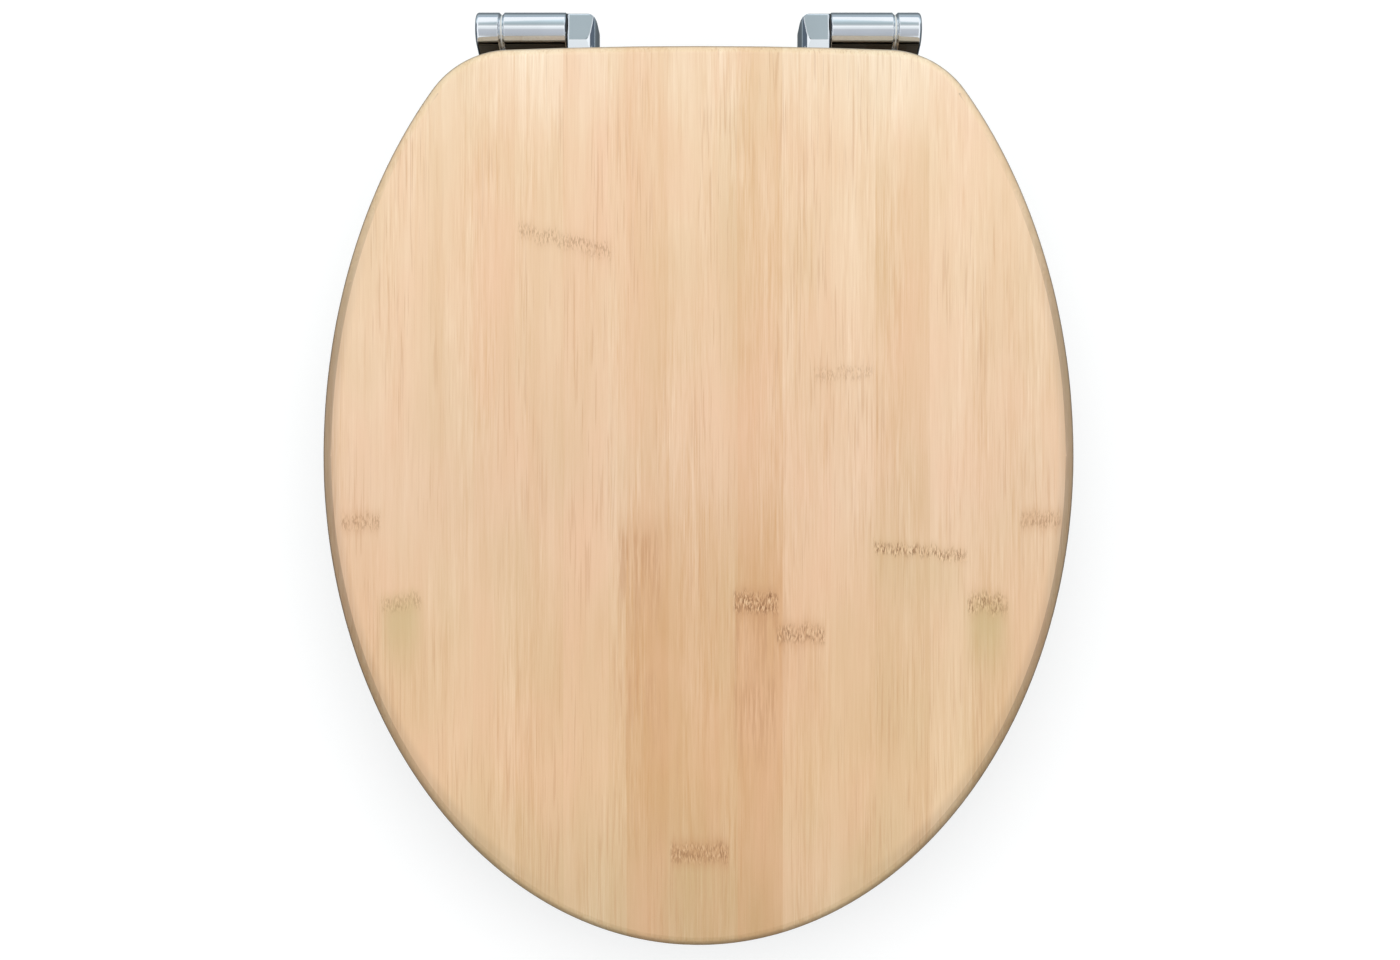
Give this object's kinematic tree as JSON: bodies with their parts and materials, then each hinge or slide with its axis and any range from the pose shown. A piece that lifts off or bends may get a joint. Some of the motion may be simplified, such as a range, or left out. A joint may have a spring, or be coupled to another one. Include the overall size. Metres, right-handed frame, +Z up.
{
  "type": "toilet seat",
  "caption": "Oval bamboo toilet seat with a closing lid, a seat ring and chromed soft-close barrel hinges on fixing studs.",
  "frame": {"origin": "midway between the two fixing studs, on the plane of the bowl's top", "axes": "+X to the right seen from the front, +Y to the rear where the hinges are, +Z up out of the bowl"},
  "size_m": [0.373, 0.4708, 0.1075],
  "materials": {
    "bamboo": "satin lacquered bamboo strips",
    "hinge_chrome": "polished chrome plate",
    "bumper_rubber": "matte pale rubber",
    "black_nylon": "matte black nylon",
    "fixing_nylon": "satin white nylon",
    "screw_steel": "plain stainless steel"
  },
  "bodies": {
    "mount": {"left_base_disc": "hinge_chrome", "left_base_gasket": "bumper_rubber", "left_cone_washer": "fixing_nylon", "left_damper_body": "black_nylon", "left_fixing_stud": "screw_steel", "left_flat_washer": "fixing_nylon", "left_grub_screw": "screw_steel", "left_hinge_housing": "hinge_chrome", "left_inner_thrust_washer": "black_nylon", "left_outer_thrust_washer": "fixing_nylon", "left_pin_bush": "black_nylon", "left_wing_nut": "fixing_nylon", "right_base_disc": "hinge_chrome", "right_base_gasket": "bumper_rubber", "right_cone_washer": "fixing_nylon", "right_damper_body": "black_nylon", "right_fixing_stud": "screw_steel", "right_flat_washer": "fixing_nylon", "right_grub_screw": "screw_steel", "right_hinge_housing": "hinge_chrome", "right_inner_thrust_washer": "black_nylon", "right_outer_thrust_washer": "fixing_nylon", "right_pin_bush": "black_nylon", "right_wing_nut": "fixing_nylon"},
    "seat": {"left_hinge_pin": "screw_steel", "left_seat_arm": "hinge_chrome", "left_seat_arm_screws": "screw_steel", "right_damper_shaft": "screw_steel", "right_seat_arm": "hinge_chrome", "right_seat_arm_screws": "screw_steel", "seat_bumper_screws": "screw_steel", "seat_bumpers": "bumper_rubber", "seat_ring": "bamboo"},
    "lid": {"left_damper_shaft": "screw_steel", "left_lid_arm": "hinge_chrome", "left_lid_arm_screws": "screw_steel", "lid": "bamboo", "lid_bumper_screws": "screw_steel", "lid_bumpers": "bumper_rubber", "right_hinge_pin": "screw_steel", "right_lid_arm": "hinge_chrome", "right_lid_arm_screws": "screw_steel"}
  },
  "joints": [
    {"name": "seat_hinge", "type": "hinge", "parent": "mount", "child": "seat", "pos_m": [0, 0.0055, 0.021], "axis": [-1, 0, 0], "range_deg": [0, 95]},
    {"name": "lid_hinge", "type": "hinge", "parent": "seat", "child": "lid", "pos_m": [0, 0.0055, 0.021], "axis": [-1, 0, 0], "range_deg": [0, 98]}
  ]
}
